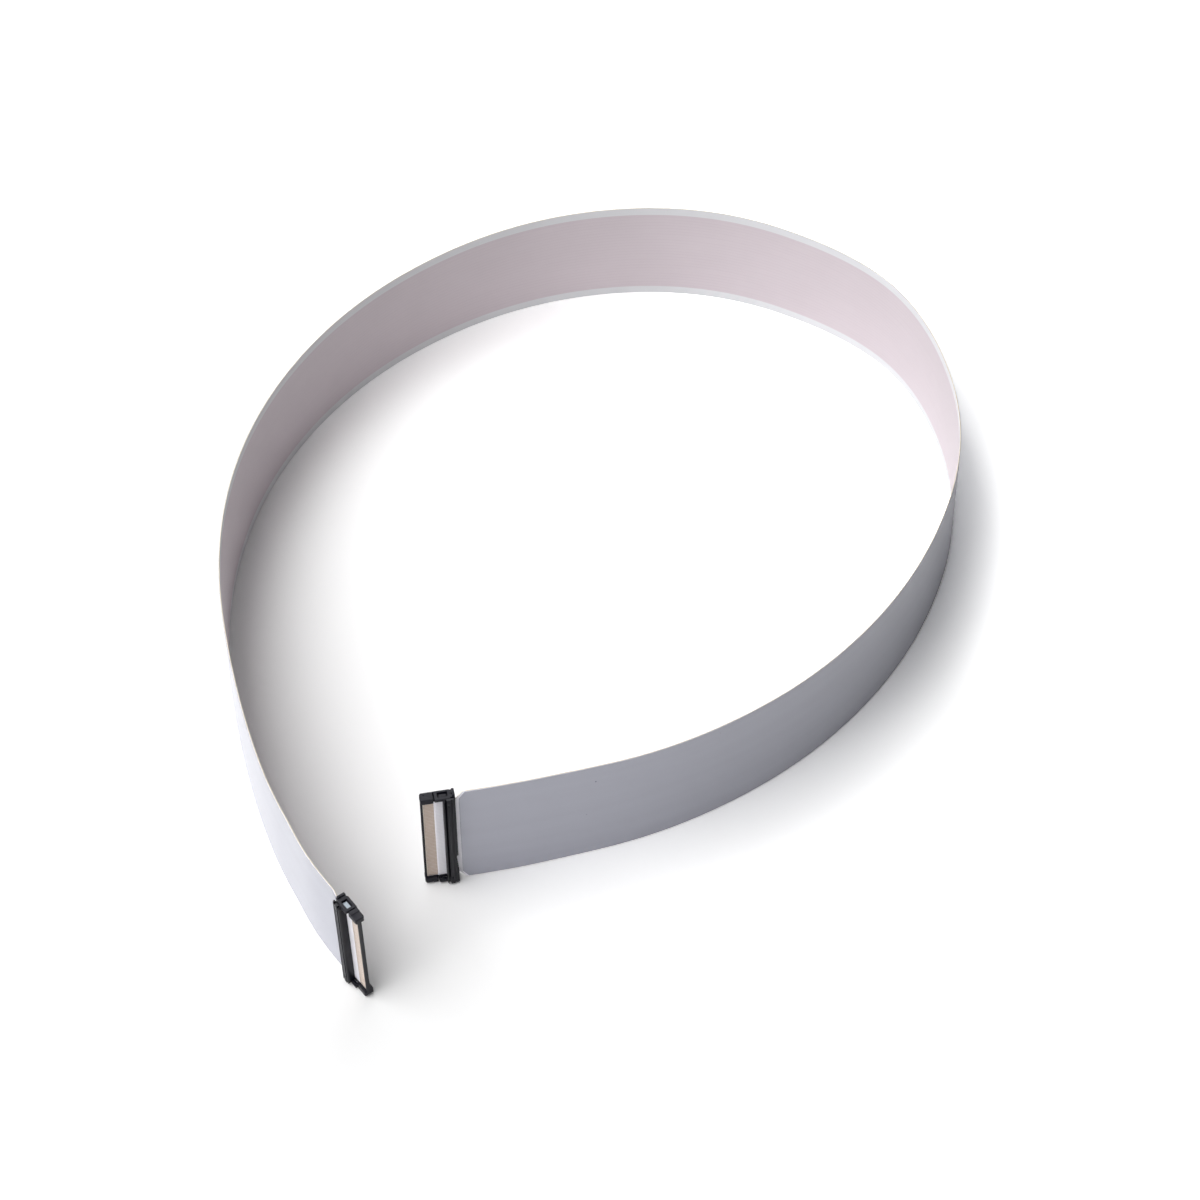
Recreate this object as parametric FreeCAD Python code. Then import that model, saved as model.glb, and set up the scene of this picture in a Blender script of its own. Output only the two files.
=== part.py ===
import FreeCAD, Part
import math
import os

# Shielded flat flex cable, standing on its long edge as one open loop.
# A laminated strip holds the conductors side by side. A shield film is bonded to its outer
# face. A moulded plug at each end holds the strip between a housing and a ribbed cover bar,
# with the bare contacts open on the outer face of the housing's tongue.
#
# Millimetres. The floor is Z = 0, +Z is up along the strip's width, and the origin is on the
# floor under the middle of the whole. Each plug is drawn in its own frame first:
#   X out of the strip's outer face, measured from the middle of the strip's thickness
#   Y from the plug's front face back towards the cable
#   Z along the strip's width, measured from the middle of that width

# Route of the strip's lower edge, from the front of plug A round to the front of plug B
ROUTE = [
    (-39.65, -85.25), (-11.9, -79.85), (22, -68.6), (55.5, -45),
    (80.5, -10.5), (93.5, 32), (87.5, 72.5), (70, 99),
    (29, 120), (-18.5, 115), (-59.5, 87), (-85.5, 45),
    (-93.1, 0.5), (-84.5, -53), (-66.75, -96.8), (-51.3, -117.7),
]
# Lean of the strip out of the upright at each route point, in degrees, positive outwards
LEAN = [-2, -2, -1, 0, 0, 0, 0, 0, 0, 0, 0, 0, 0.3, 0.3, 1.6, 1.6]
ARC_SHARE = 0.45

# Conductors and strip
CONDUCTORS = 51
PITCH = 0.5
CONTACT_WIDTH = 0.3
CONTACT_THICK = 0.05
SIDE_MARGIN = 2.0
STRIP_THICK = 0.24
SHOULDER_LENGTH = 1.4
BARE_DEPTH = 0.08
FILM_THICK = 0.1
FILM_EDGE = 0.2
# The neck is one pitch wider than the row of conductors, and the strip is wider by a margin on each side
NECK_WIDTH = (CONDUCTORS + 1) * PITCH
STRIP_WIDTH = NECK_WIDTH + 2 * SIDE_MARGIN

# Where things stand behind the plug's front face
LIP = 0.5
BARE_END = 3.05
COVER_FRONT = 5.1
COVER_BACK = 7.9
FILM_START = 8.9
STIFFENER_LENGTH = 4.0
STIFFENER_THICK = 0.18

# Housing
WALL = 1.5
SIDE_GAP = 0.1
TONGUE_THICK = 0.3
LIP_RISE = 0.1
BASE_BACK = -1.45
BLOCK_BACK = -1.55
BLOCK_FACE = 0.75
BLOCK_LENGTH = 3.0
BLOCK_ROUND = 0.45
BLOCK_STEP = 0.15
BLOCK_STEP_LENGTH = 1.9
SLIT = 0.3
SLIT_DEPTH = 1.1
SLIT_WEB = 0.3
EAR_BACK = -1.75
EAR_FACE = 1.25
EAR_LENGTH = 3.6
EAR_CHAMFER = 0.2
SHELF_FACE = 0.25
SHELF_WIDTH = 0.8
TAIL_END = 8.0
TAIL_FACE = 0.8
NIB_LENGTH = 0.6
NIB_RISE = 0.35
NIB_FACE = 0.6
WINDOW_START = 4.0
WINDOW_LENGTH = 2.4
WINDOW_BACK = -1.05
WINDOW_FACE = 0.45
WINDOW_DEPTH = 0.75
TAB_THICK = 0.2
TAB_GAP = 0.27
DIMPLE_RADIUS = 0.22
DIMPLE_DEPTH = 0.15
DIMPLES = [(-0.75, 0.95), (0, 7.35)]

# Cover bar
COVER_FACE = 2.0
RIB_FRONT = 0.42
GROOVE = 0.26
RIB_MAIN = 1.1
GROOVE_DEPTH = 0.28
RIB_BACK = 0.34
LEDGE_DEPTH = 0.45
END_ROUND = 0.7
REAR_ROUND = 0.2
PIN_RADIUS = 0.25
PIN_DEPTH = 0.5
PIN_INSET = 2.05
NOTCH_DEPTH = 0.5
NOTCH_START = -10.2
NOTCH_END = -5.4

# Clearance between the strip and what is laid against it
FIT = 0.01
# How far a cutting tool runs past what it cuts
OVER = 1.0

HALF_STRIP = STRIP_THICK / 2
BLOCK_INSIDE = NECK_WIDTH / 2 + SIDE_GAP
PLUG_HALF = BLOCK_INSIDE + WALL


def vec(x, y, z=0.0):
    return FreeCAD.Vector(x, y, z)


def unit(a):
    length = math.hypot(a[0], a[1])
    return (a[0] / length, a[1] / length)


def heading(a, b):
    return unit((b[0] - a[0], b[1] - a[1]))


def right_of(direction):
    """The outward side of the loop, to the right when the route is followed."""
    return (direction[1], -direction[0])


def route_at(height):
    """The route's points at a height, each moved sideways by its lean."""
    points = []
    last = len(ROUTE) - 1
    for i, (x, y) in enumerate(ROUTE):
        before = heading(ROUTE[max(i - 1, 0)], ROUTE[max(i, 1)])
        after = heading(ROUTE[min(i, last - 1)], ROUTE[min(i + 1, last)])
        if i <= 1:
            along = heading(ROUTE[0], ROUTE[1])
        elif i >= last - 1:
            along = heading(ROUTE[last - 1], ROUTE[last])
        else:
            along = unit((before[0] + after[0], before[1] + after[1]))
        side = right_of(along)
        shift = height * math.tan(math.radians(LEAN[i]))
        points.append((x + shift * side[0], y + shift * side[1]))
    return points


def corners(points):
    """For each inner point: where its arc starts and ends, its centre, radius and turn."""
    found = []
    for a, b, c in zip(points, points[1:], points[2:]):
        run_in = math.dist(a, b)
        run_out = math.dist(b, c)
        d_in = heading(a, b)
        d_out = heading(b, c)
        turn = math.atan2(d_in[0] * d_out[1] - d_in[1] * d_out[0], d_in[0] * d_out[0] + d_in[1] * d_out[1])
        back = ARC_SHARE * min(run_in, run_out)
        radius = back / math.tan(abs(turn) / 2)
        start = (b[0] - back * d_in[0], b[1] - back * d_in[1])
        end = (b[0] + back * d_out[0], b[1] + back * d_out[1])
        side = right_of(d_in)
        sign = -1.0 if turn > 0 else 1.0
        centre = (start[0] + sign * radius * side[0], start[1] + sign * radius * side[1])
        found.append({"start": start, "end": end, "centre": centre, "radius": radius, "turn": turn,
                      "d_in": d_in, "d_out": d_out})
    return found


def path_length(points):
    """Length of the straight runs and arcs together."""
    total = 0.0
    here = points[0]
    for corner in corners(points):
        total += math.dist(here, corner["start"]) + corner["radius"] * abs(corner["turn"])
        here = corner["end"]
    return total + math.dist(here, points[-1])


def offset_edges(points, offset, height):
    """Straight runs and tangent arcs, moved sideways by an offset, at one height."""
    edges = []
    side = right_of(heading(points[0], points[1]))
    here = (points[0][0] + offset * side[0], points[0][1] + offset * side[1])
    for corner in corners(points):
        side_in = right_of(corner["d_in"])
        side_out = right_of(corner["d_out"])
        start = (corner["start"][0] + offset * side_in[0], corner["start"][1] + offset * side_in[1])
        end = (corner["end"][0] + offset * side_out[0], corner["end"][1] + offset * side_out[1])
        sign = 1.0 if corner["turn"] > 0 else -1.0
        reach = corner["radius"] + sign * offset
        out = unit((side_in[0] + side_out[0], side_in[1] + side_out[1]))
        middle = (corner["centre"][0] + sign * reach * out[0], corner["centre"][1] + sign * reach * out[1])
        edges.append(Part.LineSegment(vec(*here, height), vec(*start, height)).toShape())
        edges.append(Part.Arc(vec(*start, height), vec(*middle, height), vec(*end, height)).toShape())
        here = end
    side = right_of(heading(points[-2], points[-1]))
    last = (points[-1][0] + offset * side[0], points[-1][1] + offset * side[1])
    edges.append(Part.LineSegment(vec(*here, height), vec(*last, height)).toShape())
    return edges


def section(height, inner, outer):
    """Closed outline of a layer of the strip at one height, from an inner to an outer offset."""
    points = route_at(height)
    outside = offset_edges(points, outer, height)
    inside = offset_edges(points, inner, height)
    far_cap = Part.LineSegment(outside[-1].lastVertex().Point, inside[-1].lastVertex().Point).toShape()
    near_cap = Part.LineSegment(inside[0].firstVertex().Point, outside[0].firstVertex().Point).toShape()
    return Part.Wire(outside + [far_cap] + list(reversed(inside)) + [near_cap])


def layer(inner, outer, low, high):
    """One layer of the strip along the whole route: ruled faces between two heights."""
    return Part.makeLoft([section(low, inner, outer), section(high, inner, outer)], True, True)


def plug_placement(front, behind, lean, turned):
    """Places a plug's frame at an end of the strip. A turned plug is the same part upside down."""
    back = heading(front, behind)
    outward = (-back[1], back[0]) if turned else (back[1], -back[0])
    tilt = math.radians(lean)
    x_axis = vec(outward[0] * math.cos(tilt), outward[1] * math.cos(tilt), -math.sin(tilt))
    up = vec(outward[0] * math.sin(tilt), outward[1] * math.sin(tilt), math.cos(tilt))
    y_axis = vec(back[0], back[1])
    z_axis = up * (-1.0 if turned else 1.0)
    middle = vec(front[0], front[1]) + up * (STRIP_WIDTH / 2 / math.cos(tilt))
    rotation = FreeCAD.Rotation(x_axis, y_axis, z_axis, "XYZ")
    return FreeCAD.Placement(middle, rotation)


PLACES = {
    "a": plug_placement(ROUTE[0], ROUTE[1], LEAN[0], False),
    "b": plug_placement(ROUTE[-1], ROUTE[-2], LEAN[-1], True),
}


def block(x0, x1, y0, y1, z0, z1):
    return Part.makeBox(x1 - x0, y1 - y0, z1 - z0, vec(x0, y0, z0))


def prism(outline, z0, z1):
    """An outline in X and Y, drawn up from one height to another."""
    wire = Part.makePolygon([vec(x, y, z0) for x, y in outline + outline[:1]])
    return Part.Face(wire).extrude(vec(0, 0, z1 - z0))


def both_ends(solid):
    """A feature near the upper end of the plug, and its mirror image near the lower end."""
    return [solid, solid.mirror(vec(0, 0, 0), vec(0, 0, 1))]


def end_cutter(start, width):
    """Takes the strip down to a width from its end to a sloped shoulder that begins at start."""
    half = width / 2
    outer = STRIP_WIDTH / 2 + OVER
    slope = SHOULDER_LENGTH * (outer - half) / (STRIP_WIDTH / 2 - half)
    reach = [(-OVER, half), (start, half), (start + slope, outer), (-OVER, outer)]
    wire = Part.makePolygon([vec(-OVER * 3, y, z) for y, z in reach + reach[:1]])
    upper = Part.Face(wire).extrude(vec(OVER * 6, 0, 0))
    return both_ends(upper)


def at_both_plugs(solids):
    placed = []
    for place in PLACES.values():
        for solid in solids:
            copy = solid.copy()
            copy.Placement = place
            placed.append(copy)
    return placed


def make_ribbon():
    """The laminate: full width along the loop, a narrow neck in each plug, bared at its ends."""
    body = layer(-HALF_STRIP, HALF_STRIP, 0.0, STRIP_WIDTH)
    cuts = end_cutter(FILM_START, NECK_WIDTH)
    cuts.append(block(HALF_STRIP - BARE_DEPTH, OVER, -OVER, BARE_END, -STRIP_WIDTH, STRIP_WIDTH))
    cuts.append(block(-OVER, OVER, -OVER, LIP + FIT, -STRIP_WIDTH, STRIP_WIDTH))
    return body.cut(at_both_plugs(cuts))


def make_shield_film():
    """The film on the outer face, a little short of both edges, cut off behind each plug."""
    inner = HALF_STRIP + FIT
    body = layer(inner, inner + FILM_THICK, FILM_EDGE, STRIP_WIDTH - FILM_EDGE)
    cuts = end_cutter(FILM_START, NECK_WIDTH)
    cuts.append(block(-OVER, OVER, -OVER, FILM_START, -STRIP_WIDTH, STRIP_WIDTH))
    return body.cut(at_both_plugs(cuts))


def make_contacts():
    """The bare conductors, side by side on the strip's end."""
    floor = HALF_STRIP - BARE_DEPTH
    fingers = []
    for i in range(CONDUCTORS):
        middle = (i - (CONDUCTORS - 1) / 2) * PITCH
        fingers.append(block(floor, floor + CONTACT_THICK, LIP + FIT, BARE_END,
                             middle - CONTACT_WIDTH / 2, middle + CONTACT_WIDTH / 2))
    return Part.makeCompound(fingers)


def make_stiffener():
    """Reinforcing tape behind the strip's end."""
    top = -HALF_STRIP - FIT
    return block(top - STIFFENER_THICK, top, LIP + FIT, LIP + STIFFENER_LENGTH, -NECK_WIDTH / 2, NECK_WIDTH / 2)


def make_housing():
    """Tongue, base and two end ears in one moulding."""
    seat = -HALF_STRIP - FIT
    low_seat = seat - STIFFENER_THICK - FIT
    tongue_back = low_seat - TONGUE_THICK
    ear_start = BLOCK_LENGTH + SLIT
    ear_end = ear_start + EAR_LENGTH
    floor_step = LIP + STIFFENER_LENGTH + SIDE_GAP
    profile = [
        (tongue_back, 0), (HALF_STRIP + LIP_RISE, 0), (HALF_STRIP + LIP_RISE, LIP), (low_seat, LIP),
        (low_seat, floor_step), (seat, floor_step), (seat, COVER_BACK), (BASE_BACK, COVER_BACK),
        (BASE_BACK, ear_start), (tongue_back, ear_start),
    ]
    body = prism(profile, -BLOCK_INSIDE - OVER / 2, BLOCK_INSIDE + OVER / 2)
    front = block(BLOCK_BACK, BLOCK_FACE, 0, ear_start + OVER / 2, BLOCK_INSIDE, PLUG_HALF)
    front = front.makeFillet(BLOCK_ROUND, [e for e in front.Edges if front_corner(e)])
    ear = block(EAR_BACK, EAR_FACE, ear_start, ear_end, BLOCK_INSIDE, PLUG_HALF)
    ear = ear.makeChamfer(EAR_CHAMFER, [e for e in ear.Edges if outer_long_edge(e)])
    tail = block(BASE_BACK, TAIL_FACE, ear_end - OVER / 2, TAIL_END, BLOCK_INSIDE, PLUG_HALF)
    nib = block(BASE_BACK, NIB_FACE, TAIL_END - NIB_LENGTH, TAIL_END, PLUG_HALF - OVER / 2, PLUG_HALF + NIB_RISE)
    added = []
    for piece in (front, ear, tail, nib):
        added += both_ends(piece)
    body = body.fuse(added).removeSplitter()
    slit_full = block(BLOCK_BACK + SLIT_WEB, OVER * 3, BLOCK_LENGTH, ear_start, PLUG_HALF - SLIT_DEPTH, PLUG_HALF + OVER)
    slit_face = block(HALF_STRIP, OVER * 3, BLOCK_LENGTH, ear_start, BLOCK_INSIDE - OVER, PLUG_HALF + OVER)
    step = block(-OVER * 3, OVER * 3, -OVER, BLOCK_STEP_LENGTH, PLUG_HALF - BLOCK_STEP, PLUG_HALF + OVER)
    shelf = block(SHELF_FACE, OVER * 3, ear_start - OVER / 10, COVER_FRONT + SIDE_GAP,
                  BLOCK_INSIDE - OVER, BLOCK_INSIDE + SHELF_WIDTH)
    window = block(WINDOW_BACK, WINDOW_FACE, WINDOW_START, WINDOW_START + WINDOW_LENGTH,
                   PLUG_HALF - WINDOW_DEPTH, PLUG_HALF + OVER)
    cuts = []
    for piece in [slit_full, slit_face, shelf, window] + dimples():
        cuts += both_ends(piece)
    # Only the plug's lower end block is stepped
    cuts.append(both_ends(step)[1])
    return body.cut(cuts).removeSplitter()


def dimples():
    """Shallow moulding marks in an end block's and a tail's end faces."""
    top = PLUG_HALF - DIMPLE_DEPTH
    return [Part.makeCylinder(DIMPLE_RADIUS, DIMPLE_DEPTH + OVER / 2, vec(x, y, top)) for x, y in DIMPLES]


def front_corner(edge):
    """True for the edges of an end block that run along X and Z at its front."""
    box = edge.BoundBox
    along_z = box.ZLength > box.XLength and box.ZLength > box.YLength
    outer = box.XLength > box.YLength and box.ZMin > (BLOCK_INSIDE + PLUG_HALF) / 2
    return box.YMax < BLOCK_LENGTH / 2 and (along_z or outer)


def outer_long_edge(edge):
    """True for the edges of an ear that run along Y at its outer end."""
    box = edge.BoundBox
    return box.YLength > box.XLength and box.ZMin > (BLOCK_INSIDE + PLUG_HALF) / 2


def cover_profile():
    """The cover bar's cross-section in X and Y: ribs and grooves on its outer face."""
    groove = COVER_FACE - GROOVE_DEPTH
    y1 = COVER_FRONT + RIB_FRONT
    y2 = y1 + GROOVE
    y3 = y2 + RIB_MAIN
    y4 = y3 + GROOVE
    y5 = y4 + RIB_BACK
    ledge = COVER_FACE - LEDGE_DEPTH
    return [
        (COVER_FACE, COVER_FRONT), (COVER_FACE, y1), (groove, y1), (groove, y2), (COVER_FACE, y2),
        (COVER_FACE, y3), (groove, y3), (groove, y4), (COVER_FACE - GROOVE_DEPTH / 2, y4),
        (COVER_FACE - GROOVE_DEPTH / 2, y5), (ledge, y5), (ledge, COVER_BACK),
    ]


def make_cover(notched):
    """The ribbed bar that clamps the strip: over both ears, and down between them to the strip."""
    under = HALF_STRIP + FIT
    over_ear = EAR_FACE + FIT
    bar = prism(cover_profile() + [(over_ear, COVER_BACK), (over_ear, COVER_FRONT)], -PLUG_HALF, PLUG_HALF)
    between = BLOCK_INSIDE - SIDE_GAP / 2
    foot = prism([(under, COVER_FRONT), (over_ear + OVER / 10, COVER_FRONT),
                  (over_ear + OVER / 10, COVER_BACK), (under, COVER_BACK)], -between, between)
    body = bar.fuse(foot).removeSplitter()
    for y, radius in ((COVER_FRONT, END_ROUND), (COVER_BACK, REAR_ROUND)):
        corner = [e for e in body.Edges if end_corner(e, -1, y) or end_corner(e, 1, y)]
        body = body.makeFillet(radius, corner)
    cuts = []
    pin_at = COVER_FRONT + RIB_FRONT + GROOVE + RIB_MAIN / 2
    for end in (-1, 1):
        foot_of_pin = vec(COVER_FACE - PIN_DEPTH, pin_at, end * (PLUG_HALF - PIN_INSET))
        cuts.append(Part.makeCylinder(PIN_RADIUS, PIN_DEPTH + OVER, foot_of_pin, vec(1, 0, 0)))
    if notched:
        nick = [(COVER_BACK - NOTCH_DEPTH, NOTCH_END), (COVER_BACK + OVER, NOTCH_END),
                (COVER_BACK + OVER, NOTCH_START), (COVER_BACK, NOTCH_START)]
        wire = Part.makePolygon([vec(under - OVER, y, z) for y, z in nick + nick[:1]])
        cuts.append(Part.Face(wire).extrude(vec(COVER_FACE + OVER * 3, 0, 0)))
    return body.cut(cuts)


def end_corner(edge, end, y):
    """True for the edges of the cover's ends that stand along X at one side of the bar."""
    box = edge.BoundBox
    tight = 1e-6
    at_end = abs(box.ZMin - end * PLUG_HALF) < tight and abs(box.ZMax - end * PLUG_HALF) < tight
    at_side = abs(box.YMin - y) < tight and abs(box.YMax - y) < tight
    return at_end and at_side


def make_ground_tab():
    """Small plated tab on the floor of the window at the plug's lower end."""
    floor = -(PLUG_HALF - WINDOW_DEPTH)
    return block(WINDOW_BACK + TAB_GAP, WINDOW_FACE - TAB_GAP, WINDOW_START + TAB_GAP,
                 WINDOW_START + WINDOW_LENGTH - TAB_GAP, floor - TAB_THICK, floor)


def main():
    nodes = {"ribbon": make_ribbon(), "shield_film": make_shield_film()}
    pieces = {
        "contacts": make_contacts(),
        "stiffener": make_stiffener(),
        "housing": make_housing(),
        "ground_tab": make_ground_tab(),
    }
    for end, place in PLACES.items():
        pieces["cover"] = make_cover(notched=end == "a")
        for name, shape in pieces.items():
            copy = shape.copy()
            copy.Placement = place
            nodes[name + "_" + end] = copy
    os.makedirs("parts", exist_ok=True)
    for name, shape in nodes.items():
        shape.exportStep("parts/" + name + ".step")
    points = route_at(0.0)
    print("radii", [round(c["radius"], 1) for c in corners(points)])
    print("turns", [round(math.degrees(c["turn"]), 1) for c in corners(points)])
    length = path_length(points)
    print("length", round(length, 1), "strip volume", round(nodes["ribbon"].Volume, 1),
          "section by length", round(length * STRIP_WIDTH * STRIP_THICK, 1))
    for name, shape in nodes.items():
        print(name, shape.isValid(), len(shape.Solids), round(shape.Volume, 3))
    whole = Part.makeCompound(list(nodes.values())).BoundBox
    print("box", [round(v, 3) for v in (whole.XMin, whole.XMax, whole.YMin, whole.YMax, whole.ZMin, whole.ZMax)])


main()
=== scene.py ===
"""Looks of a shielded flat flex cable that stands on its long edge as one open loop.

The strip and its shield film follow two NURBS lines, one along each long edge. The plugs are
dressed copies of their solids, with eased edges, and a new row of contacts.
"""

import logging
import math
from dataclasses import dataclass
from enum import Enum

import bmesh
import bpy
import numpy as np
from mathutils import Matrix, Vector


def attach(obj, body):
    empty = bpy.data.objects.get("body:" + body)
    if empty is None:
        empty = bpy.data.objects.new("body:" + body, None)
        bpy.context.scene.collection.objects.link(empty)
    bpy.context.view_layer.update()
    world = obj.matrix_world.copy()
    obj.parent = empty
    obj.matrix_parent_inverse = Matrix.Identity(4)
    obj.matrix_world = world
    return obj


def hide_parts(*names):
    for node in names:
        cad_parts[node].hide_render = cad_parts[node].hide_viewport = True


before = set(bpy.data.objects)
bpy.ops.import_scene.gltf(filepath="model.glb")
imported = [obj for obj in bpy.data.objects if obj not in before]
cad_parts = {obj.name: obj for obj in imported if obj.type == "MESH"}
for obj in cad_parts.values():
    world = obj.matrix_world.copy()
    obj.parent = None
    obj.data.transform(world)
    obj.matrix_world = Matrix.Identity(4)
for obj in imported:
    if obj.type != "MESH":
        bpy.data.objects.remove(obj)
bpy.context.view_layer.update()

log = logging.getLogger("flat_flex_cable")

MM = 0.001
Tree = bpy.types.NodeTree
Socket = bpy.types.NodeSocket
Settings = dict[str | int, object]
Links = dict[str | int, Socket]

# The strip's lower edge, from the front of plug A round to the front of plug B, in metres. These
# are the route points of the solids, moved by up to 4 mm so that the spline through them meets
# both edges of the strip in the photograph.
ROUTE = np.array([
    (-0.03965, -0.08525), (-0.0119, -0.0798), (0.0223, -0.0683), (0.0553, -0.0450),
    (0.0803, -0.0112), (0.0939, 0.0316), (0.0876, 0.0736), (0.0692, 0.0998),
    (0.0290, 0.1201), (-0.0188, 0.1150), (-0.0605, 0.0865), (-0.0861, 0.0444),
    (-0.0935, -0.0037), (-0.0835, -0.0557), (-0.0681, -0.0950), (-0.0513, -0.1177),
])
# Lean of the strip out of the upright at each of those points, in degrees
LEAN = np.array([
    -2.0, -2.0, 0.1, 0.6, 0.2, -0.4, -0.7, 0.4, 0.7, 0.3, -0.6, -0.8, 0.0, 0.2, 1.6, 1.6,
])

# Sizes shared by the strip and its plugs, as in the solids
STRIP_WIDTH = 30.0 * MM
STRIP_THICK = 0.24 * MM
NECK_WIDTH = 26.0 * MM
PITCH = 0.5 * MM
WAYS = 51
PLUG_HALF = 14.6 * MM
BARE_DEPTH = 0.08 * MM

# Places along the strip, as distances behind a plug's front face
CREAM_END = 0.68 * MM
BARE_END = 3.05 * MM
PLUG_BACK = 7.9 * MM
LAMINATE_WIDENS = 8.3 * MM
FILM_START = 8.9 * MM
# Length of the slanted shoulder between the neck and the full width
SHOULDER = 1.4 * MM

# How many points the cord's middle line is given by
CORD_POINTS = 300


class Slot(Enum):
    """Material slots of the new pieces. The tapes and tabs keep their nodes' own."""

    LAMINATE = "laminate"
    SHIELD = "shield_film"
    CONTACTS = "contacts"
    HOUSING = "housing"
    COVER = "cover"


class Face(Enum):
    """The laminate's kinds of face. Each value is the number of its material on the piece."""

    LINED = 0
    WHITE = 1
    BARED = 2
    CUT = 3


class End(Enum):
    """The two ends of the cable. Each value is the suffix of that plug's nodes."""

    A = "a"
    B = "b"


# Materials

# Sockets of a Mix node that mixes colours, by number, since several share a name
MIX_SHARE, MIX_FIRST, MIX_SECOND, MIX_COLOUR = 0, 6, 7, 2
# Most of a noise texture lies between these values
NOISE_LOW, NOISE_HIGH = 0.3, 0.7
# Octaves of a noise texture, for a smooth, a plain and a ragged pattern
SMOOTH, PLAIN, RAGGED = 1.0, 2.0, 3.0
# How far a drawn line's edge fades to each side, as a part of the lines' spacing
LINE_FADE = 0.07


def linear(colour: str) -> tuple[float, float, float, float]:
    """Turns an sRGB hex colour into linear light, by the curve of the sRGB standard.

    Args:
        colour: six hex digits after a hash sign.

    Returns:
        Red, green, blue, and an alpha of 1.
    """
    levels = [int(colour[i:i + 2], 16) / 255 for i in (1, 3, 5)]
    red, green, blue = [v / 12.92 if v <= 0.04045 else ((v + 0.055) / 1.055) ** 2.4
                        for v in levels]
    return red, green, blue, 1.0


def add_node(tree: Tree, kind: str, settings: Settings | None = None,
             links: Links | None = None) -> bpy.types.Node:
    """Adds one shader node.

    Args:
        tree: the material's or the world's node tree.
        kind: the node's type name.
        settings: values by property name, or by input name or number.
        links: output sockets by the input name or number that each feeds.

    Returns:
        The new node.
    """
    node = tree.nodes.new(kind)
    for key, value in (settings or {}).items():
        if isinstance(key, str) and hasattr(node, key):
            setattr(node, key, value)
        else:
            node.inputs[key].default_value = value
    for key, source in (links or {}).items():
        tree.links.new(source, node.inputs[key])
    return node


def new_material(name: str) -> tuple[bpy.types.Material, Tree, Socket]:
    """A node material with nothing but its output.

    Args:
        name: the material's name.

    Returns:
        The material, its node tree, and the socket that takes its last shader.
    """
    material = bpy.data.materials.new(name)
    material.use_nodes = True
    tree = material.node_tree
    tree.nodes.clear()
    output = add_node(tree, "ShaderNodeOutputMaterial")
    return material, tree, output.inputs["Surface"]


def lines_across(tree: Tree, across: Socket, period: float, share: float) -> Socket:
    """Long parallel lines: the distance from the nearest line's middle, turned to a soft 0 to 1.

    Args:
        tree: the node tree.
        across: position across the strip, in metres, 0 on a line's middle.
        period: the lines' spacing in metres.
        share: how much of the spacing a line takes up.

    Returns:
        A socket that is 1 on the lines and 0 between them.
    """
    scaled = add_node(tree, "ShaderNodeMath", {"operation": "MULTIPLY_ADD", 1: 1 / period, 2: 0.5},
                      {0: across})
    part = add_node(tree, "ShaderNodeMath", {"operation": "FRACT"}, {0: scaled.outputs[0]})
    off = add_node(tree, "ShaderNodeMath", {"operation": "SUBTRACT", 1: 0.5}, {0: part.outputs[0]})
    near = add_node(tree, "ShaderNodeMath", {"operation": "ABSOLUTE"}, {0: off.outputs[0]})
    line = add_node(tree, "ShaderNodeMapRange",
                    {"interpolation_type": "SMOOTHSTEP", "From Min": share / 2 + LINE_FADE,
                     "From Max": share / 2 - LINE_FADE, "To Min": 0.0, "To Max": 1.0},
                    {"Value": near.outputs[0]})
    return line.outputs[0]


def uneven(tree: Tree, colour: Socket | str, noise: Socket, spread: float,
           low: float = NOISE_LOW, high: float = NOISE_HIGH) -> Socket:
    """A colour made uneven by a noise: its value is multiplied by 1, give or take the spread.

    Args:
        tree: the node tree.
        colour: the plain colour, a socket or sRGB hex.
        noise: the noise.
        spread: the most by which the value changes either way.
        low: the noise where the colour is darkest.
        high: the noise where it is lightest.

    Returns:
        The changed colour.
    """
    level = add_node(tree, "ShaderNodeMapRange",
                     {"From Min": low, "From Max": high,
                      "To Min": 1 - spread, "To Max": 1 + spread}, {"Value": noise})
    plain = {"Color": linear(colour)} if isinstance(colour, str) else {}
    linked = {} if plain else {"Color": colour}
    varied = add_node(tree, "ShaderNodeHueSaturation", plain,
                      {"Value": level.outputs[0], **linked})
    return varied.outputs[0]


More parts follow.
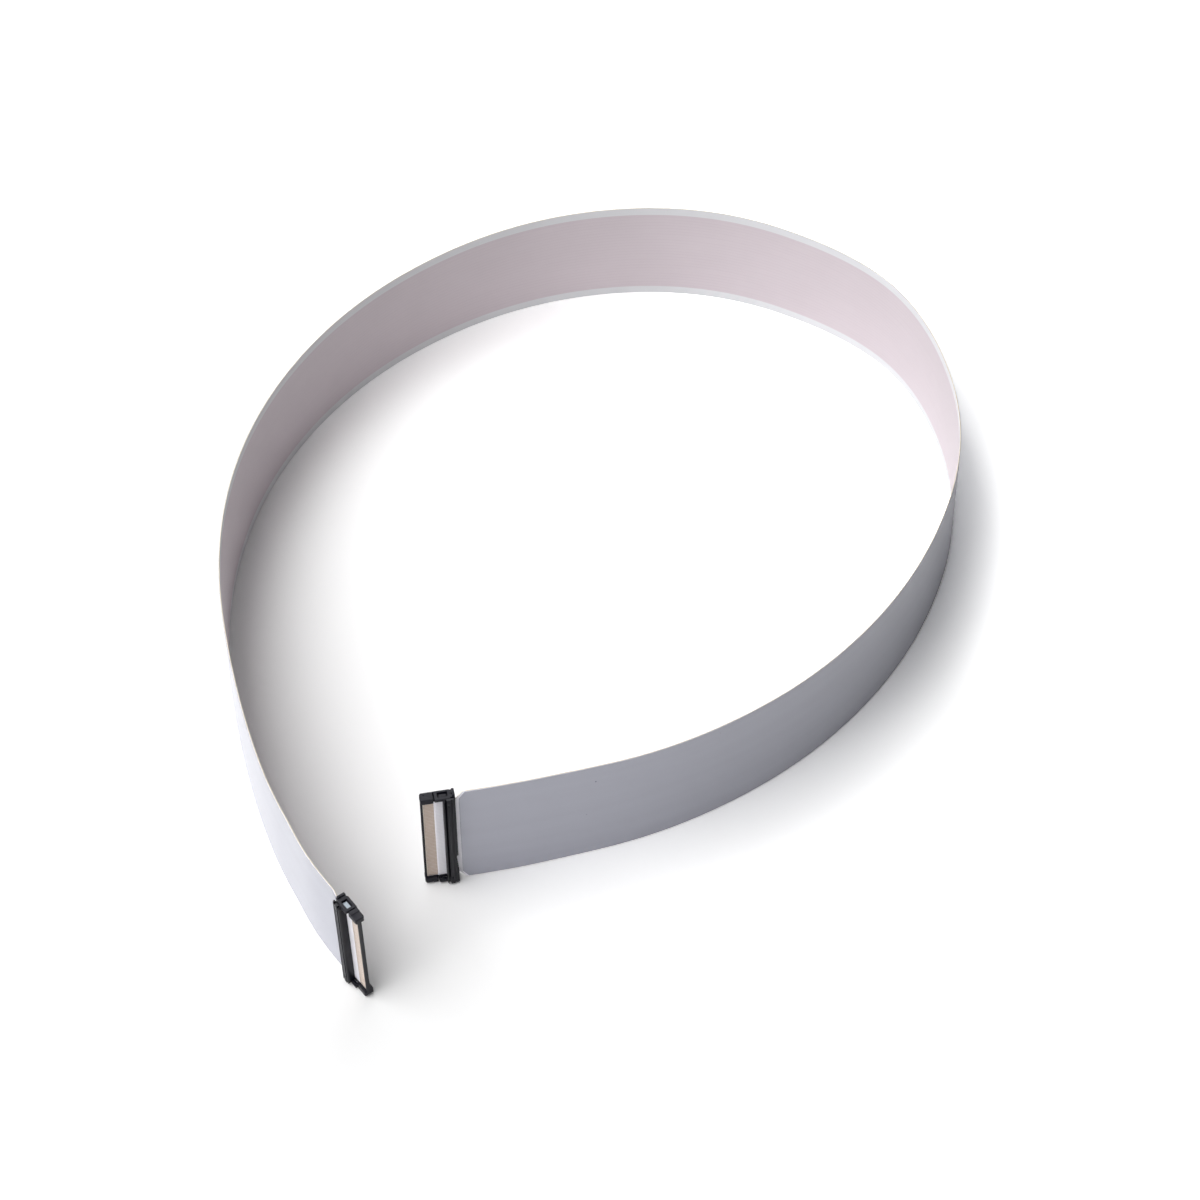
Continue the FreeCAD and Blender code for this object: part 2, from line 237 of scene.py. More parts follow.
@dataclass(frozen=True)
class LaminateFinish:
    """Polyester laminate over flat copper conductors, extruded film, roll pressed.

    To the eye it is a satin near-white film. The conductors behind its inner face turn the
    middle a dusty pink with faint long lines, between two cooler margins. Where the outer film
    is peeled off, its floor is a duller white, and its cut edges are a warm cream.
    """

    white: str = "#FAF8FF"
    white_lined: str = "#F0EEF8"
    margin: str = "#DCDDE0"
    conductor: str = "#CDC2C8"
    between: str = "#D1C7CC"
    bared: str = "#B9AFA8"
    cut: str = "#E9DFCB"
    roughness: float = 0.42
    refraction: float = 1.57
    # Share of the light that passes through the white film, which glows beside a plug's shadow
    scatter: float = 0.5
    # Part of the pitch that a conductor takes up, the height of its ridge in the film, and how
    # strongly the ridge and the true lines show
    conductor_share: float = 0.6
    ridge: float = 0.02 * MM
    ridge_strength: float = 0.25
    line_strength: float = 0.5
    # The conductors' true pitch is about one pixel of a render. A second set of lines, two
    # conductors apart, is drawn so that the face still reads as lined from far off.
    coarse_period: float = 1.0 * MM
    coarse_share: float = 0.5
    # Length and width of the stretches where a coarse line catches the light, and its least level
    catch_length: float = 14.3 * MM
    catch_width: float = 1.11 * MM
    catch_least: float = 0.1
    # Width of the part that holds conductors, and how softly it ends
    conductor_zone: float = 25.4 * MM
    zone_fade: float = 0.1 * MM
    # Size of the pale flecks on peeled and cut faces, and their most
    fleck: float = 1.11 * MM
    fleck_share: float = 0.25
    # Size of the slow change in brightness, and how much it is either way
    mottle: float = 16.7 * MM
    mottle_level: float = 0.015

    def build(self, name: str, kind: Face) -> bpy.types.Material:
        """Makes the material of one kind of face.

        Args:
            name: the material's name.
            kind: the kind of face.

        Returns:
            The material, which reads the strip's UV map in metres.
        """
        material, tree, surface = new_material(name)
        place = add_node(tree, "ShaderNodeUVMap", {"uv_map": "strip"})
        split = add_node(tree, "ShaderNodeSeparateXYZ", links={0: place.outputs[0]})
        fine = lines_across(tree, split.outputs[1], PITCH, self.conductor_share)
        if kind is Face.LINED:
            colour = self._conductors(tree, place.outputs[0], split.outputs[1], fine)
        else:
            plain = {Face.WHITE: self.white, Face.BARED: self.bared, Face.CUT: self.cut}[kind]
            share = fine if kind is Face.WHITE else self._flecks(tree, place.outputs[0])
            mixed = add_node(tree, "ShaderNodeMix",
                             {"data_type": "RGBA", MIX_FIRST: linear(plain),
                              MIX_SECOND: linear(self.white_lined)}, {MIX_SHARE: share})
            colour = mixed.outputs[MIX_COLOUR]
        noise = add_node(tree, "ShaderNodeTexNoise", {"Scale": 1 / self.mottle, "Detail": PLAIN},
                         {"Vector": place.outputs[0]})
        varied = uneven(tree, colour, noise.outputs[0], self.mottle_level)
        bump = add_node(tree, "ShaderNodeBump",
                        {"Strength": self.ridge_strength, "Distance": self.ridge},
                        {"Height": fine})
        scatter = self.scatter if kind is Face.WHITE else 0.0
        shader = add_node(tree, "ShaderNodeBsdfPrincipled",
                          {"Roughness": self.roughness, "IOR": self.refraction,
                           "Subsurface Weight": scatter, "Subsurface Radius": (1.0, 1.0, 1.0),
                           "Subsurface Scale": STRIP_THICK / 2},
                          {"Base Color": varied, "Normal": bump.outputs[0]})
        tree.links.new(shader.outputs[0], surface)
        return material

    def _flecks(self, tree: Tree, place: Socket) -> Socket:
        """Pale flecks: the middle of a noise, spread from none to their most.

        Args:
            tree: the node tree.
            place: distance along and across the strip, in metres.

        Returns:
            The share of the paler colour.
        """
        noise = add_node(tree, "ShaderNodeTexNoise", {"Scale": 1 / self.fleck}, {"Vector": place})
        share = add_node(tree, "ShaderNodeMapRange",
                         {"From Min": NOISE_LOW, "From Max": NOISE_HIGH,
                          "To Min": 0.0, "To Max": self.fleck_share}, {"Value": noise.outputs[0]})
        return share.outputs[0]

    def _conductors(self, tree: Tree, place: Socket, across: Socket, fine: Socket) -> Socket:
        """The lined middle and the two plain margins, by distance from the strip's middle.

        The coarse lines come and go along the strip, as the conductors catch the light in turn.

        Args:
            tree: the node tree.
            place: distance along and across the strip, in metres.
            across: the second of those alone.
            fine: the lines at the conductors' true pitch.

        Returns:
            The inner face's colour.
        """
        coarse = lines_across(tree, across, self.coarse_period, self.coarse_share)
        stretched = add_node(tree, "ShaderNodeMapping",
                             {"Scale": (1 / self.catch_length, 1 / self.catch_width, 1.0)},
                             {"Vector": place})
        noise = add_node(tree, "ShaderNodeTexNoise", {"Scale": 1.0, "Detail": SMOOTH},
                         {"Vector": stretched.outputs[0]})
        catch = add_node(tree, "ShaderNodeMapRange",
                         {"From Min": NOISE_LOW, "From Max": NOISE_HIGH,
                          "To Min": self.catch_least, "To Max": 1.0}, {"Value": noise.outputs[0]})
        broken = add_node(tree, "ShaderNodeMath", {"operation": "MULTIPLY"},
                          {0: coarse, 1: catch.outputs[0]})
        both = add_node(tree, "ShaderNodeMath",
                        {"operation": "MULTIPLY_ADD", 1: self.line_strength},
                        {0: fine, 2: broken.outputs[0]})
        lined = add_node(tree, "ShaderNodeMix",
                         {"data_type": "RGBA", MIX_FIRST: linear(self.between),
                          MIX_SECOND: linear(self.conductor)}, {MIX_SHARE: both.outputs[0]})
        side = add_node(tree, "ShaderNodeMath", {"operation": "ABSOLUTE"}, {0: across})
        edge = self.conductor_zone / 2
        inside = add_node(tree, "ShaderNodeMapRange",
                          {"interpolation_type": "SMOOTHSTEP", "From Min": edge - self.zone_fade,
                           "From Max": edge + self.zone_fade, "To Min": 1.0, "To Max": 0.0},
                          {"Value": side.outputs[0]})
        colour = add_node(tree, "ShaderNodeMix",
                          {"data_type": "RGBA", MIX_FIRST: linear(self.margin)},
                          {MIX_SHARE: inside.outputs[0], MIX_SECOND: lined.outputs[MIX_COLOUR]})
        return colour.outputs[MIX_COLOUR]


@dataclass(frozen=True)
class Speck:
    """A spot of dirt on the film, placed along and across the strip, in metres."""

    along: float
    across: float
    radius: float
    strength: float


@dataclass(frozen=True)
class ShieldFinish:
    """Aluminium metallised polyester shield film, roll laminated.

    To the eye it is an even cool grey. The clear polyester over the metal mirrors the pale floor
    where it is seen edge-on, so the film is nearly white there.
    """

    grey: str = "#A5A6B2"
    metallic: float = 0.3
    roughness: float = 0.42
    clear: float = 1.0
    clear_roughness: float = 0.25
    # Rolling marks: soft streaks a few millimetres wide that run along the film
    streak_length: float = 83.3 * MM
    streak_width: float = 3.85 * MM
    streak_level: float = 0.02
    grain: float = 0.455 * MM
    grain_height: float = 0.01 * MM
    grain_strength: float = 0.12
    dirt: str = "#35364A"
    # Part of a speck's radius within which it is at full strength
    speck_core: float = 0.5
    specks: tuple[Speck, ...] = (
        Speck(40.87 * MM, 9.82 * MM, 0.22 * MM, 0.9),
        Speck(38.57 * MM, -1.13 * MM, 0.22 * MM, 0.3),
        Speck(72.07 * MM, 12.93 * MM, 0.14 * MM, 0.7),
    )

    def build(self, name: str) -> bpy.types.Material:
        """Makes the material.

        Args:
            name: the material's name.

        Returns:
            The material, which reads the film's UV map in metres.
        """
        material, tree, surface = new_material(name)
        place = add_node(tree, "ShaderNodeUVMap", {"uv_map": "strip"})
        stretched = add_node(tree, "ShaderNodeMapping",
                             {"Scale": (1 / self.streak_length, 1 / self.streak_width, 1.0)},
                             {"Vector": place.outputs[0]})
        streaks = add_node(tree, "ShaderNodeTexNoise", {"Scale": 1.0, "Detail": RAGGED},
                           {"Vector": stretched.outputs[0]})
        colour = uneven(tree, self.grey, streaks.outputs[0], self.streak_level)
        for speck in self.specks:
            centre = (speck.along, speck.across, 0.0)
            reach = add_node(tree, "ShaderNodeVectorMath", {"operation": "DISTANCE", 1: centre},
                             {0: place.outputs[0]})
            inside = add_node(tree, "ShaderNodeMapRange",
                              {"From Min": speck.radius * self.speck_core,
                               "From Max": speck.radius, "To Min": speck.strength, "To Max": 0.0},
                              {"Value": reach.outputs["Value"]})
            mixed = add_node(tree, "ShaderNodeMix",
                             {"data_type": "RGBA", MIX_SECOND: linear(self.dirt)},
                             {MIX_SHARE: inside.outputs[0], MIX_FIRST: colour})
            colour = mixed.outputs[MIX_COLOUR]
        grain = add_node(tree, "ShaderNodeTexNoise", {"Scale": 1 / self.grain, "Detail": PLAIN},
                         {"Vector": place.outputs[0]})
        bump = add_node(tree, "ShaderNodeBump",
                        {"Strength": self.grain_strength, "Distance": self.grain_height},
                        {"Height": grain.outputs[0]})
        shader = add_node(tree, "ShaderNodeBsdfPrincipled",
                          {"Roughness": self.roughness, "Metallic": self.metallic,
                           "Coat Weight": self.clear, "Coat Roughness": self.clear_roughness},
                          {"Base Color": colour, "Normal": bump.outputs[0]})
        tree.links.new(shader.outputs[0], surface)
        return material


@dataclass(frozen=True)
class MouldedFinish:
    """Glass-filled liquid crystal polymer, injection moulded, black.

    To the eye it is a satin black with a fine flow grain and slightly polished edges.
    """

    colour: str = "#0A0A13"
    worn: str = "#12121D"
    roughness: float = 0.42
    smoother: float = 0.06
    rougher: float = 0.08
    refraction: float = 1.6
    shine: float = 0.18
    grain: float = 0.12 * MM
    grain_height: float = 0.01 * MM
    grain_strength: float = 0.2
    # A flow mark's size in grains
    flow: float = 4.0

    def build(self, name: str) -> bpy.types.Material:
        """Makes the material.

        Args:
            name: the material's name.

        Returns:
            The material, which reads Object coordinates.
        """
        material, tree, surface = new_material(name)
        place = add_node(tree, "ShaderNodeTexCoord")
        flow = add_node(tree, "ShaderNodeTexNoise",
                        {"Scale": 1 / (self.flow * self.grain), "Detail": RAGGED},
                        {"Vector": place.outputs["Object"]})
        colour = add_node(tree, "ShaderNodeMix",
                          {"data_type": "RGBA", MIX_FIRST: linear(self.colour),
                           MIX_SECOND: linear(self.worn)}, {MIX_SHARE: flow.outputs[0]})
        rough = add_node(tree, "ShaderNodeMapRange",
                         {"To Min": self.roughness - self.smoother,
                          "To Max": self.roughness + self.rougher}, {"Value": flow.outputs[0]})
        fine = add_node(tree, "ShaderNodeTexNoise", {"Scale": 1 / self.grain, "Detail": PLAIN},
                        {"Vector": place.outputs["Object"]})
        bump = add_node(tree, "ShaderNodeBump",
                        {"Strength": self.grain_strength, "Distance": self.grain_height},
                        {"Height": fine.outputs[0]})
        shader = add_node(tree, "ShaderNodeBsdfPrincipled",
                          {"IOR": self.refraction, "Specular IOR Level": self.shine},
                          {"Base Color": colour.outputs[MIX_COLOUR], "Roughness": rough.outputs[0],
                           "Normal": bump.outputs[0]})
        tree.links.new(shader.outputs[0], surface)
        return material


@dataclass(frozen=True)
class PlatedFinish:
    """Rolled copper strip with a thin plating, gold flash on contacts and tin on the tab.

    To the eye it is a soft metal shine with fine rolling lines. The protective wax on the
    contacts is a pale sheen, strongest at a low angle.
    """

    colour: str = "#B49E8C"
    roughness: float = 0.42
    metallic: float = 0.85
    clear: float = 0.8
    clear_roughness: float = 0.3
    wax: float = 1.0
    wax_roughness: float = 0.5
    # Size of the patches of uneven plating, how much their tone changes, and their height
    patch: float = 1.11 * MM
    patch_level: float = 0.08
    patch_height: float = 0.005 * MM
    patch_strength: float = 0.15

    def build(self, name: str) -> bpy.types.Material:
        """Makes the material.

        Args:
            name: the material's name.

        Returns:
            The material, which reads Object coordinates.
        """
        material, tree, surface = new_material(name)
        place = add_node(tree, "ShaderNodeTexCoord")
        tone = add_node(tree, "ShaderNodeTexNoise", {"Scale": 1 / self.patch, "Detail": RAGGED},
                        {"Vector": place.outputs["Object"]})
        base = uneven(tree, self.colour, tone.outputs[0], self.patch_level, 0.0, 1.0)
        bump = add_node(tree, "ShaderNodeBump",
                        {"Strength": self.patch_strength, "Distance": self.patch_height},
                        {"Height": tone.outputs[0]})
        shader = add_node(tree, "ShaderNodeBsdfPrincipled",
                          {"Metallic": self.metallic, "Roughness": self.roughness,
                           "Coat Weight": self.clear, "Coat Roughness": self.clear_roughness,
                           "Sheen Weight": self.wax, "Sheen Roughness": self.wax_roughness},
                          {"Base Color": base, "Normal": bump.outputs[0]})
        tree.links.new(shader.outputs[0], surface)
        return material


@dataclass(frozen=True)
class TapeFinish:
    """Blue polyester reinforcing tape, extruded film. To the eye it is a glossy clear blue."""

    colour: str = "#4A6BC0"
    roughness: float = 0.3
    refraction: float = 1.57
    mottle: float = 2.5 * MM
    mottle_level: float = 0.05

    def build(self, name: str) -> bpy.types.Material:
        """Makes the material.

        Args:
            name: the material's name.

        Returns:
            The material, which reads Object coordinates.
        """
        material, tree, surface = new_material(name)
        place = add_node(tree, "ShaderNodeTexCoord")
        tone = add_node(tree, "ShaderNodeTexNoise", {"Scale": 1 / self.mottle},
                        {"Vector": place.outputs["Object"]})
        base = uneven(tree, self.colour, tone.outputs[0], self.mottle_level, 0.0, 1.0)
        shader = add_node(tree, "ShaderNodeBsdfPrincipled",
                          {"Roughness": self.roughness, "IOR": self.refraction},
                          {"Base Color": base})
        tree.links.new(shader.outputs[0], surface)
        return material


# Shapes


def grid_faces(rows: int, columns: int, wrap: bool) -> np.ndarray:
    """Quads of a grid of points, numbered row by row.

    Args:
        rows: number of rows.
        columns: points in a row.
        wrap: True where the last point of a row joins its first.

    Returns:
        Four point numbers for each quad.
    """
    across = np.arange(columns if wrap else columns - 1)
    first = (np.arange(rows - 1)[:, None] * columns + across[None]).ravel()
    after = (np.arange(rows - 1)[:, None] * columns + (across[None] + 1) % columns).ravel()
    return np.stack([first, after, after + columns, first + columns], axis=1)


def make_object(name: str, points: np.ndarray, faces: list[tuple[int, ...]],
                uv: np.ndarray | None = None, smooth: bool = True) -> bpy.types.Object:
    """A mesh object at the origin.

    Args:
        name: the object's name.
        points: one row of x, y, z for each vertex.
        faces: vertex numbers of each face.
        uv: one row of u, v for each vertex, for a map named strip, or None.
        smooth: whether the faces are shaded smooth.

    Returns:
        The linked object.
    """
    mesh = bpy.data.meshes.new(name)
    mesh.from_pydata(points.tolist(), [], [tuple(int(i) for i in f) for f in faces])
    if uv is not None:
        layer = mesh.uv_layers.new(name="strip")
        corner = np.zeros(len(mesh.loops), int)
        mesh.loops.foreach_get("vertex_index", corner)
        layer.data.foreach_set("uv", uv[corner].astype(np.float32).ravel())
    mesh.polygons.foreach_set("use_smooth", np.full(len(mesh.polygons), smooth))
    mesh.update()
    obj = bpy.data.objects.new(name, mesh)
    bpy.context.scene.collection.objects.link(obj)
    return obj


# Points that a spline gives between two of its controls
SPLINE_STEPS = 48


def spline_points(name: str, controls: np.ndarray) -> np.ndarray:
    """Points along a smooth NURBS line of order 3 that ends on its first and last controls.

    Args:
        name: a name for the short-lived curve.
        controls: the control points.

    Returns:
        The points that Blender gives for a curve with no bevel.
    """
    curve = bpy.data.curves.new(name, "CURVE")
    curve.dimensions = "3D"
    curve.resolution_u = SPLINE_STEPS
    spline = curve.splines.new("NURBS")
    spline.points.add(len(controls) - 1)
    spline.points.foreach_set("co", np.column_stack([controls, np.ones(len(controls))]).ravel())
    spline.order_u = 3
    spline.use_endpoint_u = True
    holder = bpy.data.objects.new(name, curve)
    mesh = bpy.data.meshes.new_from_object(holder)
    points = np.zeros(len(mesh.vertices) * 3)
    mesh.vertices.foreach_get("co", points)
    bpy.data.objects.remove(holder)
    bpy.data.curves.remove(curve)
    bpy.data.meshes.remove(mesh)
    return points.reshape(-1, 3)


def unit(vectors: np.ndarray) -> np.ndarray:
    """Vectors scaled to length 1."""
    return vectors / np.linalg.norm(vectors, axis=-1, keepdims=True)


def finish_piece(piece: bpy.types.Object, materials: list[bpy.types.Material], slot: Slot,
                 *replaced: str) -> bpy.types.Object:
    """Gives a piece its materials and its body, and hides the nodes that it stands for.

    Args:
        piece: the new object.
        materials: its materials, in the order of its faces' material numbers.
        slot: not used.
        replaced: names of the CAD nodes that it replaces.

    Returns:
        The same object.
    """
    for material in materials:
        piece.data.materials.append(material)
    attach(piece, "root")
    if replaced:
        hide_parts(*replaced)
    log.info("%s: %d faces", piece.name, len(piece.data.polygons))
    return piece


@dataclass
class PlugPlace:
    """Where a plug stands: its front face on the route's end, its axes along and off the strip.

    Plug B is the same part turned upside down, so that its width runs down the strip.
    """

    end: End

    def __post_init__(self) -> None:
        """Works out the axes: out of the outer face, back towards the cable, along the width."""
        turned = self.end is End.B
        front, behind = (ROUTE[-1], ROUTE[-2]) if turned else (ROUTE[0], ROUTE[1])
        lean = math.radians(LEAN[-1] if turned else LEAN[0])
        back = unit(behind - front)
        aside = np.array([-back[1], back[0]]) if turned else np.array([back[1], -back[0]])
        self.out = np.array([*(aside * math.cos(lean)), -math.sin(lean)])
        self.rise = np.array([*(aside * math.sin(lean)), math.cos(lean)])
        self.back = np.array([*back, 0.0])
        self.width = self.rise * (-1.0 if turned else 1.0)
        self.middle = np.array([*front, 0.0]) + self.rise * STRIP_WIDTH / 2 / math.cos(lean)

    def local(self, points: np.ndarray) -> np.ndarray:
        """Reads points back into the plug's frame, as rows of out, back and width."""
        return (points - self.middle) @ np.stack([self.out, self.back, self.width]).T

    def put(self, local: np.ndarray) -> np.ndarray:
        """Moves points from the plug's frame to the object's.

        Args:
            local: rows of out, back and width, in metres.

        Returns:
            The same points as rows of x, y, z.
        """
        return self.middle + local @ np.stack([self.out, self.back, self.width])


@dataclass
class StripPath:
    """The strip's ruled surface: a line along its lower edge and one along its upper edge."""

    # Near a plug the strip lies flat in it up to the first distance, and is free from the second
    ease_start: float = 9.5 * MM
    ease_end: float = 34 * MM

    def __post_init__(self) -> None:
        """Reads both edge lines, and eases each end onto its plug's flat plane."""
        low = self._edge(0.0)
        high = self._edge(STRIP_WIDTH)
        middle = (low + high) / 2
        steps = np.linalg.norm(np.diff(middle, axis=0), axis=1)
        self.along = np.concatenate([[0.0], np.cumsum(steps)])
        self.length = float(self.along[-1])
        self.low, self.high = self._settle(low), self._settle(high)

    def _edge(self, height: float) -> np.ndarray:
        """The spline at one height: the route's points moved sideways by their lean.

        Args:
            height: height above the floor, in metres.

        Returns:
            Points along the spline.
        """
        runs = unit(np.diff(ROUTE, axis=0))
        heads = np.vstack([runs[:1], unit(runs[:-1] + runs[1:]), runs[-1:]])
        heads[1], heads[-2] = runs[0], runs[-1]
        side = np.column_stack([heads[:, 1], -heads[:, 0]])
        moved = ROUTE + side * (height * np.tan(np.radians(LEAN)))[:, None]
        controls = np.column_stack([moved, np.full(len(moved), height)])
        return spline_points(f"edge_{height:.3f}", controls)

    def _settle(self, line: np.ndarray) -> np.ndarray:
        """Lays a line flat in both plugs: its gap to a plug's plane grows by 3 t^2 - 2 t^3.

        Args:
            line: points along one edge of the strip.

        Returns:
            The same points, moved towards the plugs' planes near the ends.
        """
        settled = line.copy()
        for end, distance in ((End.A, self.along), (End.B, self.length - self.along)):
            place = PlugPlace(end)
            off = (line - place.middle) @ place.out
            t = np.clip((distance - self.ease_start) / (self.ease_end - self.ease_start), 0, 1)
            weight = 1 - t * t * (3 - 2 * t)
            settled = settled - (off * weight)[:, None] * place.out
        return settled

    def at(self, along: np.ndarray, across: np.ndarray, off: np.ndarray) -> np.ndarray:
        """Points of the strip: on the ruling at a distance along, moved across and off its face.

        Args:
            along: distance from plug A's front face, in metres.
            across: distance from the strip's middle towards its upper edge.
            off: distance out of the outer face.

        Returns:
            One point for each triple, with the arrays broadcast together.
        """
        along, across, off = np.broadcast_arrays(along, across, off)
        low = np.stack([np.interp(along, self.along, self.low[:, i]) for i in range(3)], axis=-1)
        high = np.stack([np.interp(along, self.along, self.high[:, i]) for i in range(3)], axis=-1)
        tangent = unit(np.gradient((self.low + self.high) / 2, self.along, axis=0))
        head = np.stack([np.interp(along, self.along, tangent[:, i]) for i in range(3)], axis=-1)
        rise = unit(high - low)
        out = unit(np.cross(head, rise))
        return (low + high) / 2 + rise * across[..., None] + out * off[..., None]


@dataclass(frozen=True)
class Layer:
    """One layer of the strip, in metres.

    It holds where the layer begins behind each plug's front face and where it widens, the
    offsets of its two faces, and how far its long edges stand inside the strip's.
    """

    name: str
    start: float
    widens: float
    inner: float
    outer: float
    inset: float


LAMINATE = Layer("flex_strip", start=0.51 * MM, widens=LAMINATE_WIDENS, inner=-STRIP_THICK / 2,
                 outer=STRIP_THICK / 2, inset=0.0)
FILM = Layer("shield_skin", start=FILM_START, widens=FILM_START, inner=STRIP_THICK / 2 + 0.01 * MM,
             outer=STRIP_THICK / 2 + 0.11 * MM, inset=0.2 * MM)


@dataclass
class FlexStrip:
    """The laminate and the shield film, both carried along the strip's path."""

    path: StripPath
    # How far an edge is rounded, and the next row of points behind it that keeps the face flat
    edge_ease: float = 0.03 * MM
    support: float = 0.06 * MM
    # Points across each face, and the distance between rows along the strip
    columns: int = 24
    step: float = 1.5 * MM
    # Two rows this far either side of the peel's end make a sharp step in it
    sharp: float = 0.001 * MM
    # An even row nearer than this to a marked one gives way to it
    crowded: float = 0.3 * MM

    def stations(self, layer: Layer) -> np.ndarray:
        """Distances along the strip for the rows, even but for marks where the section changes.

        Args:
            layer: the layer's sizes.

        Returns:
            The distances, in metres, in rising order.
        """
        length = self.path.length
        eased = layer.start + self.edge_ease
        near = [layer.start, eased, eased + self.support, CREAM_END, BARE_END - self.sharp,
                BARE_END + self.sharp, layer.widens, layer.widens + SHOULDER]
        marks = np.array([m for m in near if m >= layer.start])
        marks = np.concatenate([marks, length - marks])
        even = np.linspace(layer.start, length - layer.start, int(length / self.step))
        even = even[np.abs(even[:, None] - marks[None]).min(axis=1) > self.crowded]
        return np.unique(np.concatenate([even, marks]))

    def near_end(self, along: np.ndarray) -> np.ndarray:
        """Distance behind the nearer plug's front face."""
        return np.minimum(along, self.path.length - along)

    def build(self, layer: Layer) -> bpy.types.Object:
        """A closed layer of the strip: a thin rectangle with eased corners, carried along the path.

        The section's points go round it: up the inner face, over the top edge, down the outer
        face and under the lower edge. Half its height is the neck's near both ends, then grows
        over a straight shoulder. Its outer face drops by the bared depth where the cable's ends
        are peeled. A corner is eased by a third of the thickness at most.

        Args:
            layer: the layer's sizes.

        Returns:
            The object, with a UV map of distance along and across in metres.
        """
        along = self.stations(layer)
        near = self.near_end(along)
        share = np.clip((near - layer.widens) / SHOULDER, 0, 1)
        half = (NECK_WIDTH + (STRIP_WIDTH - NECK_WIDTH) * share) / 2 - layer.inset
        ease = min(self.edge_ease, (layer.outer - layer.inner) / 3)
        rise = np.concatenate([[-1.0], np.linspace(-1, 1, self.columns - 2), [1.0]])
        back = np.zeros(self.columns)
        back[[0, -1]] = ease
        back[[1, -2]] = ease + self.support
        side = np.concatenate([rise, [1.0], rise[::-1], [-1.0]])
        pull = np.concatenate([back, [0.0], back, [0.0]])
        centre = [(layer.inner + layer.outer) / 2]
        inner, outer = np.full(self.columns, layer.inner), np.full(self.columns, layer.outer)
        off = np.concatenate([inner, centre, outer, centre])
        drop = np.where(near < BARE_END, BARE_DEPTH, 0.0)[:, None] * (off == layer.outer)[None]
        across = side[None] * (half[:, None] - pull[None])
        points = self.path.at(along[:, None], across, off[None] - drop)
        rows, columns = across.shape
        faces = [tuple(f) for f in grid_faces(rows, columns, True)]
        faces.append(tuple(range(columns))[::-1])
        faces.append(tuple(range((rows - 1) * columns, rows * columns)))
        uv = np.stack([np.broadcast_to(along[:, None], across.shape), across], axis=-1)
        return make_object(layer.name, points.reshape(-1, 3), faces, uv.reshape(-1, 2))

    def sort_faces(self, ribbon: bpy.types.Object) -> None:
        """Gives each face of the laminate its kind, by its place in the section and along it.

        Args:
            ribbon: the laminate, made by build.
        """
        along = self.stations(LAMINATE)
        near = self.near_end((along[:-1] + along[1:]) / 2)
        outer = np.select([near < CREAM_END, near < BARE_END], [Face.CUT.value, Face.BARED.value],
                          Face.WHITE.value)
        kinds = np.full((len(near), 2 * self.columns + 2), Face.CUT.value)
        kinds[:, :self.columns - 1] = Face.LINED.value
        kinds[:, self.columns + 1:2 * self.columns] = outer[:, None]
        numbers = np.concatenate([kinds.ravel(), [Face.CUT.value, Face.CUT.value]])
        ribbon.data.polygons.foreach_set("material_index", numbers.astype(np.int32))
        ribbon.data.update()


@dataclass
class ContactRow:
    """The bared conductors at one end: flat fingers with rounded long edges."""

    place: PlugPlace
    width: float = 0.3 * MM
    start: float = CREAM_END
    stop: float = BARE_END
    floor: float = 0.04 * MM
    height: float = 0.05 * MM
    # Points across the arch, and the power that squares its shoulders
    arch_points: int = 7
    power: float = 0.6
    # Distances behind the front of a finger, and its height there as a part of the full one
    front: tuple[float, ...] = (0.0, 0.1 * MM, 0.3 * MM)
    front_height: tuple[float, ...] = (0.45, 0.85, 1.0)

    def build(self) -> bpy.types.Object:
        """Carries a low arch along each finger, half a superellipse, eased down at its front.

        Returns:
            One object with all the fingers.
        """
        turn = np.linspace(math.pi, 0, self.arch_points)
        spread = np.sign(np.cos(turn)) * np.abs(np.cos(turn)) ** self.power
        arch = np.column_stack([spread * self.width / 2, np.sin(turn) ** self.power * self.height])
        along = np.array([*(self.start + d for d in self.front), self.stop])
        lift = np.array([*self.front_height, 1.0])
        middles = (np.arange(WAYS) - (WAYS - 1) / 2) * PITCH
        shape = (WAYS, len(along), len(arch))
        out = self.floor + np.broadcast_to(arch[None, None, :, 1] * lift[None, :, None], shape)
        back = np.broadcast_to(along[None, :, None], shape)
        across = np.broadcast_to(middles[:, None, None] + arch[None, None, :, 0], shape)
        points = self.place.put(np.stack([out, back, across], axis=-1).reshape(-1, 3))
        size = len(along) * len(arch)
        one = grid_faces(len(along), len(arch), False)
        faces = [tuple(f) for i in range(WAYS) for f in one + i * size]
        for i in range(WAYS):
            first = i * size
            last = first + size - len(arch)
            faces.append(tuple(range(first, first + len(arch)))[::-1])
            faces.append(tuple(range(last, last + len(arch))))
            under = [first + j * len(arch) for j in range(len(along))]
            faces.append(tuple(under[::-1]) + tuple(k + len(arch) - 1 for k in under))
        obj = make_object(f"contact_row_{self.place.end.value}", points, faces, smooth=False)
        outward(obj)
        return obj


def outward(obj: bpy.types.Object) -> None:
    """Turns every face of a closed mesh outwards.

    Args:
        obj: the mesh object.
    """
    mesh = bmesh.new()
    mesh.from_mesh(obj.data)
    bmesh.ops.recalc_face_normals(mesh, faces=mesh.faces)
    mesh.to_mesh(obj.data)
    mesh.free()


